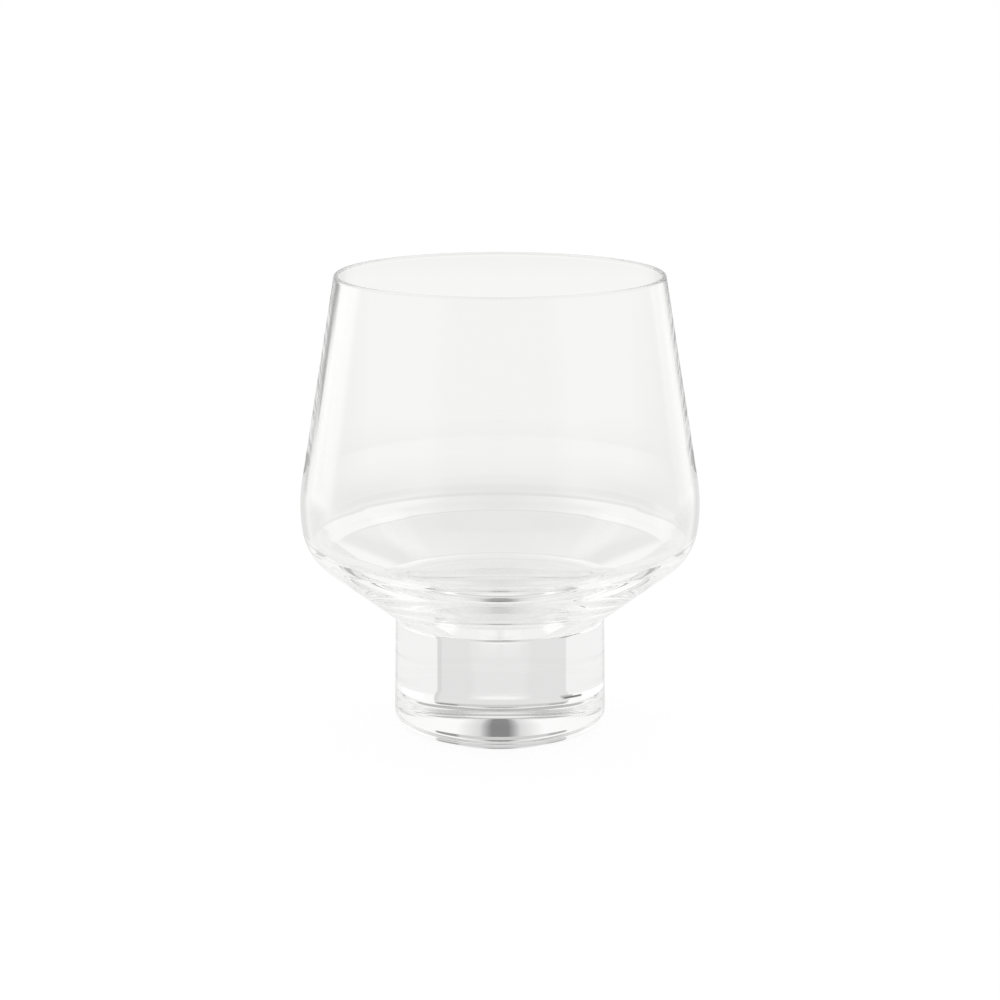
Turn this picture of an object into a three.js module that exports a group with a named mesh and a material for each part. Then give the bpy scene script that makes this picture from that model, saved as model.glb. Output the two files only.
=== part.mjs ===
// Stemless cognac glass: a thin blown bowl fused to a solid cylindrical glass foot.
// Millimetres, +Z up, the glass stands on z = 0 with its axis on the Z axis.
import * as THREE from "three";

// Overall shape, measured on the outer surface
const GLASS_HEIGHT = 100;
const LIP_MIDDLE_RADIUS = 35.05;     // axis to the middle of the rounded lip
const BELLY_RADIUS = 43.4;           // the widest place of the bowl
const BELLY_HEIGHT = 49.6;           // height of that widest place
const SIDE_CURVE_RADIUS = 36.0;      // slow curve from the belly up into the straight side
const SHOULDER_CURVE_RADIUS = 11.4;  // quick curve from the belly down into the cone
const SHOULDER_START = 8.2;          // degrees below the belly where the quick curve takes over

// Foot
const FOOT_HEIGHT = 24.8;            // height of the fused joint
const FOOT_TOP_RADIUS = 22.9;        // where the lines of the foot's side and the bowl's cone cross
const FOOT_BASE_RADIUS = 23.25;      // slight draft, wider at the table
const FOOT_EDGE_RADIUS = 3.8;        // round between the side and the flat underside
const CREASE_RADIUS = 1.5;           // hollow round where the cone meets the foot

// Glass thickness
const LIP_THICKNESS = 1.05;
const BELLY_WALL = 1.75;
const SHOULDER_THICKENING = 3.0;     // how much more the inner shoulder curve draws in than the belly wall

// Inside bottom of the bowl
const FLOOR_HEIGHT = 30.2;           // inside floor above the table
const FLOOR_RADIUS = 21.4;           // flat middle of the inside floor
const FLOOR_CORNER_RADIUS = 9.3;     // round between the inside floor and the inside cone

// Facets
const SIDES_AROUND = 64;
const LIP_STEPS = 6;
const SIDE_STEPS = 4;
const SHOULDER_STEPS = 8;
const FLOOR_CORNER_STEPS = 5;
const FOOT_EDGE_STEPS = 6;
const CREASE_STEPS = 2;              // on each side of the joint

const RIGHT_ANGLE = Math.PI / 2;

// Points of a circular arc in the (radius, height) plane, both ends included
function arc(circle, from, to, steps) {
  const points = [];
  for (let i = 0; i <= steps; i++) {
    const angle = from + ((to - from) * i) / steps;
    const spoke = new THREE.Vector2(Math.cos(angle), Math.sin(angle)).multiplyScalar(circle.radius);
    points.push(spoke.add(circle.centre));
  }
  return points;
}

function circleAt(r, z, radius) {
  return { centre: new THREE.Vector2(r, z), radius };
}

// One surface of the bowl from the end of its cone up to the lip: shoulder curve and side curve.
// The cone is tangent to the circle `lower` and the straight side is tangent to the lip's circle.
// `lipSide` is +1 for the surface on the outer side of the lip and -1 for the inner side.
function bowlSurface(bellyRadius, sideRadius, shoulderRadius, lower, lip, lipSide) {
  const start = THREE.MathUtils.degToRad(SHOULDER_START);
  const side = circleAt(bellyRadius - sideRadius, BELLY_HEIGHT, sideRadius);
  const reach = sideRadius - shoulderRadius;
  const shoulder = circleAt(
    side.centre.x + reach * Math.cos(start),
    side.centre.y - reach * Math.sin(start),
    shoulderRadius,
  );
  const down = shoulder.centre.clone().sub(lower.centre);
  const coneSlope = down.angle() + Math.asin((lower.radius - shoulderRadius) / down.length());
  const up = lip.centre.clone().sub(side.centre);
  const sideLean = up.angle() - Math.acos((sideRadius - lipSide * lip.radius) / up.length());
  const points = [
    ...arc(shoulder, coneSlope - RIGHT_ANGLE, -start, SHOULDER_STEPS),
    ...arc(side, -start, sideLean, SIDE_STEPS).slice(1),
  ];
  return { coneSlope, sideLean, points };
}

const lip = circleAt(LIP_MIDDLE_RADIUS, GLASS_HEIGHT - LIP_THICKNESS / 2, LIP_THICKNESS / 2);
const cornerOfFoot = circleAt(FOOT_TOP_RADIUS, FOOT_HEIGHT, 0);
const floorCorner = circleAt(FLOOR_RADIUS, FLOOR_HEIGHT + FLOOR_CORNER_RADIUS, FLOOR_CORNER_RADIUS);

const outside = bowlSurface(BELLY_RADIUS, SIDE_CURVE_RADIUS, SHOULDER_CURVE_RADIUS, cornerOfFoot, lip, 1);
const inside = bowlSurface(
  BELLY_RADIUS - BELLY_WALL,
  SIDE_CURVE_RADIUS - BELLY_WALL,
  SHOULDER_CURVE_RADIUS - BELLY_WALL - SHOULDER_THICKENING,
  floorCorner,
  lip,
  -1,
);

// The hollow round at the crease touches the foot's side and the cone, and the joint cuts it at FOOT_HEIGHT
const footDraft = Math.atan2(FOOT_BASE_RADIUS - FOOT_TOP_RADIUS, FOOT_HEIGHT);
const outOfCone = new THREE.Vector2(Math.sin(outside.coneSlope), -Math.cos(outside.coneSlope));
const outOfFoot = new THREE.Vector2(Math.cos(footDraft), Math.sin(footDraft));
const toCreaseCentre = outOfCone.clone().add(outOfFoot).divideScalar(1 + outOfCone.dot(outOfFoot));
const creaseCentre = toCreaseCentre.clone().multiplyScalar(CREASE_RADIUS).add(cornerOfFoot.centre);
const crease = circleAt(creaseCentre.x, creaseCentre.y, CREASE_RADIUS);
const creaseAtFoot = Math.PI + footDraft;
const creaseAtCone = RIGHT_ANGLE + outside.coneSlope;
const creaseAtJoint = Math.PI + Math.asin(toCreaseCentre.y);

// Solid of revolution about Z from points (radius, height) that run round the section against the clock
function turned(points) {
  const geometry = new THREE.LatheGeometry(points, SIDES_AROUND);
  geometry.rotateX(RIGHT_ANGLE);
  return geometry;
}

function bowlGeometry() {
  return turned([
    new THREE.Vector2(0, FOOT_HEIGHT),
    ...arc(crease, creaseAtJoint, creaseAtCone, CREASE_STEPS),
    ...outside.points,
    ...arc(lip, outside.sideLean, inside.sideLean + Math.PI, LIP_STEPS),
    ...inside.points.toReversed(),
    ...arc(floorCorner, inside.coneSlope - RIGHT_ANGLE, -RIGHT_ANGLE, FLOOR_CORNER_STEPS),
    new THREE.Vector2(0, FLOOR_HEIGHT),
  ]);
}

function footGeometry() {
  const edge = circleAt(FOOT_BASE_RADIUS - FOOT_EDGE_RADIUS, FOOT_EDGE_RADIUS, FOOT_EDGE_RADIUS);
  return turned([
    new THREE.Vector2(0, 0),
    ...arc(edge, -RIGHT_ANGLE, footDraft, FOOT_EDGE_STEPS),
    ...arc(crease, creaseAtFoot, creaseAtJoint, CREASE_STEPS),
    new THREE.Vector2(0, FOOT_HEIGHT),
  ]);
}

// Clear soda-lime glass, a trace of grey in the thick foot
function clearGlass(color) {
  return new THREE.MeshStandardMaterial({ color, roughness: 0.02, metalness: 0, transparent: true, opacity: 0.35 });
}

function namedMesh(name, geometry, material) {
  const mesh = new THREE.Mesh(geometry, material);
  mesh.name = name;
  return mesh;
}

const glass = new THREE.Group();
glass.name = "cognac_glass";
glass.add(namedMesh("foot", footGeometry(), clearGlass(0xe9ecea)));
glass.add(namedMesh("bowl", bowlGeometry(), clearGlass(0xf2f4f2)));

export default glass;
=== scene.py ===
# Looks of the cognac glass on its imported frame: metres, +Z up, the glass stands on z = 0.
import math

import bpy
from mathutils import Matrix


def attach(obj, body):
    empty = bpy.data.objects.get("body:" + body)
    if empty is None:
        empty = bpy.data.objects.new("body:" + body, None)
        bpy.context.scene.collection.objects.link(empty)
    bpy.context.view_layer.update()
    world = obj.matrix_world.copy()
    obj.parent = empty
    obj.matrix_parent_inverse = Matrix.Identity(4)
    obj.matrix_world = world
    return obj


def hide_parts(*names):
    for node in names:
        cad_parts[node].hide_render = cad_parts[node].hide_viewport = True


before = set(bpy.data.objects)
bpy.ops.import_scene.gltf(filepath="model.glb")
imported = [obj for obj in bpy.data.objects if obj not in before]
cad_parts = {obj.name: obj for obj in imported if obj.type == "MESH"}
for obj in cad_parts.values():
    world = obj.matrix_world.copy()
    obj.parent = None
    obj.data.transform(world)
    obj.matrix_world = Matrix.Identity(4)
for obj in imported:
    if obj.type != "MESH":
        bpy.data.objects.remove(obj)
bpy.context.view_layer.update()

MM = 0.001
RIGHT_ANGLE = math.pi / 2

# Outer shape of the glass, in millimetres and degrees
GLASS_HEIGHT = 100.0
LIP_MIDDLE_RADIUS = 35.05      # axis to the middle of the rounded lip
BELLY_RADIUS = 43.4            # the widest place of the bowl
BELLY_HEIGHT = 49.6
SIDE_CURVE_RADIUS = 36.0       # slow curve from the belly up into the straight side
SHOULDER_CURVE_RADIUS = 11.4   # quick curve from the belly down into the cone
SHOULDER_START = 8.2           # degrees below the belly where the quick curve takes over

# Foot
FOOT_HEIGHT = 24.8             # height of the fused joint
FOOT_TOP_RADIUS = 22.9         # where the lines of the foot's side and the bowl's cone cross
FOOT_BASE_RADIUS = 23.25
FOOT_EDGE_RADIUS = 3.8         # round between the side and the flat underside
CREASE_RADIUS = 1.5            # hollow round where the cone meets the foot

# Glass thickness and the inside bottom of the bowl
LIP_THICKNESS = 1.05
BELLY_WALL = 1.75
SHOULDER_THICKENING = 3.0      # how much more the inner shoulder curve draws in than the belly wall
FLOOR_HEIGHT = 30.2
FLOOR_RADIUS = 21.4
FLOOR_CORNER_RADIUS = 9.3

# Fineness of the turned pieces: steps along each round of the section, and sides around the axis
SHOULDER_STEPS = 40
SIDE_STEPS = 14
LIP_STEPS = 18
FLOOR_CORNER_STEPS = 20
FOOT_EDGE_STEPS = 36
CREASE_STEPS = 10              # on each side of the joint
RING_SHARE = 0.01              # share of a straight stretch that lies between a round and the first ring
SIDES_AROUND = 480
MERGE_DISTANCE = 0.002 * MM
SHARP_EDGE = math.radians(40)

# Glass
CLEAR_GLASS_IOR = 1.5
BOWL_TINT = (1.0, 1.0, 0.990, 1.0)
FOOT_TINT = (1.0, 1.0, 0.996, 1.0)
WHITE = (1.0, 1.0, 1.0, 1.0)

# Camera
CAMERA_PLACE = (0.0, -0.55842, 0.17751)
CAMERA_DIP = 12.8347           # degrees below level
CAMERA_SENSOR = 36.0
CAMERA_LENS = 94.637


# Section of the glass as points (radius, height) in millimetres

def arc(centre, radius, start, end, steps):
    points = []
    for i in range(steps + 1):
        angle = start + (end - start) * i / steps
        points.append((centre[0] + radius * math.cos(angle), centre[1] + radius * math.sin(angle)))
    return points


def straight(first, last):
    """Points between the two ends: the middle, and one beside each end that joins a round, where it keeps
    the round's smooth shading from running along the straight stretch"""
    shares = [0.5]
    if first[0] > 0:
        shares.insert(0, RING_SHARE)
    if last[0] > 0:
        shares.append(1 - RING_SHARE)
    across, up = last[0] - first[0], last[1] - first[1]
    return [(first[0] + across * share, first[1] + up * share) for share in shares]


LIP_CENTRE = (LIP_MIDDLE_RADIUS, GLASS_HEIGHT - LIP_THICKNESS / 2)
FOOT_CORNER = (FOOT_TOP_RADIUS, FOOT_HEIGHT)
FLOOR_CORNER = (FLOOR_RADIUS, FLOOR_HEIGHT + FLOOR_CORNER_RADIUS)


def bowl_surface(belly_radius, side_radius, shoulder_radius, lower_centre, lower_radius, lip_side):
    """Slope of the cone, lean of the side, and the two curves between them, for one surface of the bowl.
    The cone touches the lower circle, and the side touches the lip's outer (1) or inner (-1) half."""
    start = math.radians(SHOULDER_START)
    side = (belly_radius - side_radius, BELLY_HEIGHT)
    reach = side_radius - shoulder_radius
    shoulder = (side[0] + reach * math.cos(start), side[1] - reach * math.sin(start))
    down = (shoulder[0] - lower_centre[0], shoulder[1] - lower_centre[1])
    cone_turn = math.asin((lower_radius - shoulder_radius) / math.hypot(*down))
    cone_slope = math.atan2(down[1], down[0]) + cone_turn
    up = (LIP_CENTRE[0] - side[0], LIP_CENTRE[1] - side[1])
    side_turn = math.acos((side_radius - lip_side * LIP_THICKNESS / 2) / math.hypot(*up))
    side_lean = math.atan2(up[1], up[0]) - side_turn
    points = arc(shoulder, shoulder_radius, cone_slope - RIGHT_ANGLE, -start, SHOULDER_STEPS)
    points += arc(side, side_radius, -start, side_lean, SIDE_STEPS)[1:]
    return cone_slope, side_lean, points


OUTER_SLOPE, OUTER_LEAN, OUTER_CURVES = bowl_surface(
    BELLY_RADIUS,
    SIDE_CURVE_RADIUS,
    SHOULDER_CURVE_RADIUS,
    lower_centre=FOOT_CORNER,
    lower_radius=0.0,
    lip_side=1,
)
INNER_SLOPE, INNER_LEAN, INNER_CURVES = bowl_surface(
    BELLY_RADIUS - BELLY_WALL,
    SIDE_CURVE_RADIUS - BELLY_WALL,
    SHOULDER_CURVE_RADIUS - BELLY_WALL - SHOULDER_THICKENING,
    lower_centre=FLOOR_CORNER,
    lower_radius=FLOOR_CORNER_RADIUS,
    lip_side=-1,
)

FOOT_DRAFT = math.atan2(FOOT_BASE_RADIUS - FOOT_TOP_RADIUS, FOOT_HEIGHT)


def crease_circle():
    """Centre of the hollow round at the crease, and its angle where the fused joint cuts it"""
    out_of_cone = (math.sin(OUTER_SLOPE), -math.cos(OUTER_SLOPE))
    out_of_foot = (math.cos(FOOT_DRAFT), math.sin(FOOT_DRAFT))
    spread = 1 + out_of_cone[0] * out_of_foot[0] + out_of_cone[1] * out_of_foot[1]
    along = ((out_of_cone[0] + out_of_foot[0]) / spread, (out_of_cone[1] + out_of_foot[1]) / spread)
    centre = (FOOT_TOP_RADIUS + CREASE_RADIUS * along[0], FOOT_HEIGHT + CREASE_RADIUS * along[1])
    return centre, math.pi + math.asin(along[1])


CREASE_CENTRE, CREASE_AT_JOINT = crease_circle()


def bowl_section():
    """From the middle of the joint up the outside, over the lip and down to the middle of the floor"""
    crease = arc(CREASE_CENTRE, CREASE_RADIUS, CREASE_AT_JOINT, RIGHT_ANGLE + OUTER_SLOPE, CREASE_STEPS)
    lip = arc(LIP_CENTRE, LIP_THICKNESS / 2, OUTER_LEAN, INNER_LEAN + math.pi, LIP_STEPS)
    inner = INNER_CURVES[::-1]
    corner_start = INNER_SLOPE - RIGHT_ANGLE
    corner = arc(FLOOR_CORNER, FLOOR_CORNER_RADIUS, corner_start, -RIGHT_ANGLE, FLOOR_CORNER_STEPS)
    points = [(0.0, FOOT_HEIGHT)] + crease
    points += straight(crease[-1], OUTER_CURVES[0]) + OUTER_CURVES
    points += straight(OUTER_CURVES[-1], lip[0]) + lip
    points += straight(lip[-1], inner[0]) + inner
    points += straight(inner[-1], corner[0]) + corner
    points += straight(corner[-1], (0.0, FLOOR_HEIGHT)) + [(0.0, FLOOR_HEIGHT)]
    return points


def foot_section():
    """From the middle of the underside out round the lower edge and up to the middle of the joint"""
    edge_centre = (FOOT_BASE_RADIUS - FOOT_EDGE_RADIUS, FOOT_EDGE_RADIUS)
    edge = arc(edge_centre, FOOT_EDGE_RADIUS, -RIGHT_ANGLE, FOOT_DRAFT, FOOT_EDGE_STEPS)
    crease = arc(CREASE_CENTRE, CREASE_RADIUS, math.pi + FOOT_DRAFT, CREASE_AT_JOINT, CREASE_STEPS)
    points = [(0.0, 0.0)] + straight((0.0, 0.0), edge[0]) + edge
    points += straight(edge[-1], crease[0]) + crease
    return points + [(0.0, FOOT_HEIGHT)]


# Turned pieces

def turn_section(name, section):
    """Draw the section with one vertex in edit mode and spin it round the axis into a closed piece"""
    bpy.ops.object.select_all(action="DESELECT")
    bpy.ops.mesh.primitive_plane_add(size=MM)
    piece = bpy.context.object
    piece.name = name
    piece.data.name = name
    bpy.ops.object.mode_set(mode="EDIT")
    bpy.ops.mesh.merge(type="CENTER")
    bpy.ops.transform.translate(value=(section[0][0] * MM, 0, section[0][1] * MM))
    for here, there in zip(section, section[1:]):
        step = ((there[0] - here[0]) * MM, 0, (there[1] - here[1]) * MM)
        bpy.ops.mesh.extrude_region_move(TRANSFORM_OT_translate={"value": step})
    bpy.ops.mesh.select_all(action="SELECT")
    bpy.ops.mesh.spin(steps=SIDES_AROUND, angle=2 * math.pi, center=(0, 0, 0), axis=(0, 0, 1))
    bpy.ops.mesh.select_all(action="SELECT")
    bpy.ops.mesh.remove_doubles(threshold=MERGE_DISTANCE)
    bpy.ops.mesh.normals_make_consistent(inside=False)
    bpy.ops.object.mode_set(mode="OBJECT")
    bpy.ops.object.shade_smooth_by_angle(angle=SHARP_EDGE)
    return piece


def finish_piece(piece, node, glass, joint):
    """Glass all over, the fused joint's own finish on the disc where the two pieces meet"""
    piece.data.materials.append(glass)
    piece.data.materials.append(joint)
    for face in piece.data.polygons:
        on_joint = abs(face.center.z - FOOT_HEIGHT * MM) < MERGE_DISTANCE
        face.material_index = int(on_joint)
    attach(piece, "root")
    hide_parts(node)


# Finishes

def hand_finish():
    """Slow waves left by hot working, and the faint marks of wiping and handling"""
    group = bpy.data.node_groups.new("hand_finish", "ShaderNodeTree")
    group.interface.new_socket("Place", in_out="INPUT", socket_type="NodeSocketVector")
    group.interface.new_socket("Wave Scale", in_out="INPUT", socket_type="NodeSocketFloat")
    group.interface.new_socket("Mark Roughness", in_out="INPUT", socket_type="NodeSocketFloat")
    group.interface.new_socket("Waves", in_out="OUTPUT", socket_type="NodeSocketFloat")
    group.interface.new_socket("Roughness", in_out="OUTPUT", socket_type="NodeSocketFloat")
    nodes, links = group.nodes, group.links
    given = nodes.new("NodeGroupInput")
    result = nodes.new("NodeGroupOutput")

    waves = nodes.new("ShaderNodeTexNoise")
    waves.inputs["Detail"].default_value = 1.0
    links.new(given.outputs["Place"], waves.inputs["Vector"])
    links.new(given.outputs["Wave Scale"], waves.inputs["Scale"])
    links.new(waves.outputs["Fac"], result.inputs["Waves"])

    stretch = nodes.new("ShaderNodeMapping")
    stretch.inputs["Scale"].default_value = (60.0, 60.0, 260.0)
    wiping = nodes.new("ShaderNodeTexNoise")
    wiping.inputs["Scale"].default_value = 1.0
    wiping.inputs["Detail"].default_value = 4.0
    patches = nodes.new("ShaderNodeMapRange")
    patches.inputs["From Min"].default_value = 0.48
    patches.inputs["From Max"].default_value = 0.75
    links.new(given.outputs["Place"], stretch.inputs["Vector"])
    links.new(stretch.outputs["Vector"], wiping.inputs["Vector"])
    links.new(wiping.outputs["Fac"], patches.inputs["Value"])
    links.new(given.outputs["Mark Roughness"], patches.inputs["To Max"])
    links.new(patches.outputs["Result"], result.inputs["Roughness"])
    return group


def clear_glass(name, finish, tint, wave_scale, wave_depth, mark_roughness):
    material = bpy.data.materials.new(name)
    material.use_nodes = True
    nodes, links = material.node_tree.nodes, material.node_tree.links
    shader = nodes["Principled BSDF"]
    shader.inputs["Base Color"].default_value = tint
    shader.inputs["IOR"].default_value = CLEAR_GLASS_IOR
    shader.inputs["Transmission Weight"].default_value = 1.0
    place = nodes.new("ShaderNodeTexCoord")
    surface = nodes.new("ShaderNodeGroup")
    surface.node_tree = finish
    surface.inputs["Wave Scale"].default_value = wave_scale
    surface.inputs["Mark Roughness"].default_value = mark_roughness
    relief = nodes.new("ShaderNodeBump")
    relief.inputs["Strength"].default_value = 1.0
    relief.inputs["Distance"].default_value = wave_depth
    links.new(place.outputs["Object"], surface.inputs["Place"])
    links.new(surface.outputs["Waves"], relief.inputs["Height"])
    links.new(surface.outputs["Roughness"], shader.inputs["Roughness"])
    links.new(relief.outputs["Normal"], shader.inputs["Normal"])
    return material


def fused_joint():
    """The two pieces are one body of glass here, so light passes the joint as if it were not there"""
    material = bpy.data.materials.new("fused_joint")
    material.use_nodes = True
    shader = material.node_tree.nodes["Principled BSDF"]
    shader.inputs["Base Color"].default_value = WHITE
    shader.inputs["Alpha"].default_value = 0.0
    return material


# Studio

class NodeMath:
    """Short hand for the arithmetic nodes of the studio's surroundings"""

    def __init__(self, tree):
        self.nodes = tree.nodes
        self.links = tree.links

    def join(self, value, socket):
        if isinstance(value, (int, float)):
            socket.default_value = value
        else:
            self.links.new(value, socket)

    def math(self, operation, *values):
        node = self.nodes.new("ShaderNodeMath")
        node.operation = operation
        for value, socket in zip(values, node.inputs):
            self.join(value, socket)
        return node.outputs[0]

    def fade(self, value, start, end):
        """0 at start, 1 at end, even between"""
        node = self.nodes.new("ShaderNodeMapRange")
        self.join(value, node.inputs["Value"])
        node.inputs["From Min"].default_value = start
        node.inputs["From Max"].default_value = end
        return node.outputs["Result"]

    def blend(self, mask, low, high):
        node = self.nodes.new("ShaderNodeMix")
        self.join(mask, node.inputs["Factor"])
        self.join(low, node.inputs["A"])
        self.join(high, node.inputs["B"])
        return node.outputs["Result"]


# What the glass shows of the studio. Each part has its turn from straight behind the glass, right side
# positive, its height above level, both in degrees with soft edges, and its brightness, where 1 is white.
# A later part lies over an earlier one, and STUDIO_BASE is the brightness where there is none.
STUDIO_BASE = 0.98
STUDIO_PARTS = [
    # name, (turn from, turn to, edge), (height from, height to, edge), brightness
    ("left_wall", (-64, -43, 6), (-6, 6, 4), 1.45),
    ("right_wall", (38, 52, 6), (-6, 6, 4), 1.25),
    ("table", (-180, 180, 1), (-91, -12, 3), 0.90),
    ("room_near_side", (80, 280, 12), (-26, 8, 5), 0.87),
    ("ceiling", (-180, 180, 1), (50, 91, 12), 0.82),
    ("camera_side", (150, 210, 15), (0, 36, 4), 0.58),
    ("camera_side_top", (110, 250, 5), (36, 65, 5), 0.42),
    ("left_softbox", (-48, -36, 6), (47, 54, 4), 1.7),
    ("right_softbox", (36, 48, 6), (47, 54, 4), 1.7),
    ("backdrop", (-28, 26, 1), (-18.4, 5, 1), 0.755),
    ("table_middle", (-3, 3, 5), (-30, -14, 2), 0.83),
    ("backdrop_middle", (-5, 5, 7), (-12, -8.5, 2.5), 0.93),
    ("backdrop_low_left", (-10, -4, 2), (-16.9, -13.5, 1), 0.80),
    ("backdrop_low_right", (4, 10, 2), (-16.9, -13.5, 1), 0.80),
    ("table_glow_left", (-6.5, -2.0, 2.0), (-25, -18.5, 3.0), 0.94),
    ("table_glow_right", (2.0, 6.5, 2.0), (-25, -18.5, 3.0), 0.94),
    ("backdrop_foot", (-8, 8, 3), (-18.1, -17.4, 0.7), 0.79),
    ("backdrop_top", (-28, 26, 1), (5, 16.8, 0.4), 0.60),
    ("backdrop_right_corner", (17, 26, 2), (8, 16.8, 0.4), 0.28),
    ("backdrop_left_corner", (-27, -20, 2), (8, 16.8, 0.4), 0.42),
    ("backdrop_right_edge", (24.5, 26, 0.7), (-18.6, 8, 1), 0.68),
    ("left_flag", (-30, -24.5, 1.5), (-8.5, -5.5, 1.5), 0.50),
    ("left_flag_top", (-36, -26, 2), (-5.5, -2, 1), 0.15),
    ("gap_edge", (-3, 3, 14), (17.2, 55, 0.4), 0.55),
    ("gap", (-3, 3, 4.5), (17.2, 55, 0.4), 0.20),
]


def turn_mask(calc, turn, start, end, edge):
    """1 from start to end, counted the short way round, and fading to 0 over the edge"""
    middle, half = (start + end) / 2, (end - start) / 2
    offset = calc.math("WRAP", calc.math("SUBTRACT", turn, middle), 180.0, -180.0)
    return calc.fade(calc.math("ABSOLUTE", offset), half + edge, half)


def height_mask(calc, height, start, end, edge):
    above = calc.fade(height, start - edge, start)
    below = calc.fade(height, end + edge, end)
    return calc.math("MULTIPLY", above, below)


def studio_world():
    """The studio for the light that goes through the glass or off it, and white for the camera itself"""
    world = bpy.data.worlds.new("pale_studio")
    bpy.context.scene.world = world
    world.use_nodes = True
    tree = world.node_tree
    tree.nodes.clear()
    calc = NodeMath(tree)
    direction = tree.nodes.new("ShaderNodeTexCoord")
    axes = tree.nodes.new("ShaderNodeSeparateXYZ")
    tree.links.new(direction.outputs["Generated"], axes.inputs[0])
    x, y, z = axes.outputs
    turn = calc.math("DEGREES", calc.math("ARCTAN2", x, y))
    height = calc.math("DEGREES", calc.math("ARCSINE", z))
    brightness = STUDIO_BASE
    for name, turns, heights, value in STUDIO_PARTS:
        mask = calc.math("MULTIPLY", turn_mask(calc, turn, *turns), height_mask(calc, height, *heights))
        brightness = calc.blend(mask, brightness, value)
        brightness.node.label = name
    seen = tree.nodes.new("ShaderNodeLightPath").outputs["Is Camera Ray"]
    backdrop = calc.blend(seen, brightness, 1.0)
    light = tree.nodes.new("ShaderNodeBackground")
    output = tree.nodes.new("ShaderNodeOutputWorld")
    tree.links.new(backdrop, light.inputs["Color"])
    tree.links.new(light.outputs["Background"], output.inputs["Surface"])


GROUND_SIZE = 6.0          # metres
GROUND_DROP = 0.05 * MM    # keeps the floor just clear of the foot's underside
GROUND_GLOW = 0.88         # share of the floor's white that no shadow reaches
GROUND_GLOW_STRENGTH = 1.05


def pale_floor():
    """Wide white floor that keeps a faint shadow; the glass shows the studio in its place"""
    bpy.ops.object.select_all(action="DESELECT")
    bpy.ops.mesh.primitive_plane_add(size=GROUND_SIZE, location=(0, 0, -GROUND_DROP))
    floor = bpy.context.object
    floor.name = "pale_floor"
    material = bpy.data.materials.new("pale_floor")
    material.use_nodes = True
    nodes, links = material.node_tree.nodes, material.node_tree.links
    nodes.clear()
    matt = nodes.new("ShaderNodeBsdfDiffuse")
    matt.inputs["Color"].default_value = WHITE
    glow = nodes.new("ShaderNodeEmission")
    glow.inputs["Strength"].default_value = GROUND_GLOW_STRENGTH
    share = nodes.new("ShaderNodeMixShader")
    share.inputs["Fac"].default_value = GROUND_GLOW
    output = nodes.new("ShaderNodeOutputMaterial")
    links.new(matt.outputs["BSDF"], share.inputs[1])
    links.new(glow.outputs["Emission"], share.inputs[2])
    links.new(share.outputs["Shader"], output.inputs["Surface"])
    floor.data.materials.append(material)
    floor.visible_transmission = False
    floor.visible_glossy = False
    floor.visible_diffuse = False


def camera():
    lens = bpy.data.cameras.new("camera")
    lens.sensor_width = CAMERA_SENSOR
    lens.lens = CAMERA_LENS
    stand = bpy.data.objects.new("camera", lens)
    stand.location = CAMERA_PLACE
    stand.rotation_euler = (math.radians(90 - CAMERA_DIP), 0, 0)
    bpy.context.scene.collection.objects.link(stand)
    bpy.context.scene.camera = stand


GLASS_BOUNCES = 128
JOINT_CROSSINGS = 64


def light_paths():
    """Light is caught in clear glass for many turns, so it is followed further than usual"""
    cycles = bpy.context.scene.cycles
    cycles.max_bounces = GLASS_BOUNCES
    cycles.glossy_bounces = GLASS_BOUNCES
    cycles.transmission_bounces = GLASS_BOUNCES
    cycles.transparent_max_bounces = JOINT_CROSSINGS


FINISH = hand_finish()
JOINT = fused_joint()
BOWL_GLASS = clear_glass(
    "clear_bowl_glass", FINISH, BOWL_TINT, wave_scale=70.0, wave_depth=0.004 * MM, mark_roughness=0.03)
FOOT_GLASS = clear_glass(
    "clear_foot_glass", FINISH, FOOT_TINT, wave_scale=50.0, wave_depth=0.01 * MM, mark_roughness=0.03)

finish_piece(turn_section("glass_bowl", bowl_section()), "bowl", BOWL_GLASS, JOINT)
finish_piece(turn_section("glass_foot", foot_section()), "foot", FOOT_GLASS, JOINT)

camera()
studio_world()
pale_floor()
light_paths()
bpy.context.scene.view_settings.view_transform = "Standard"
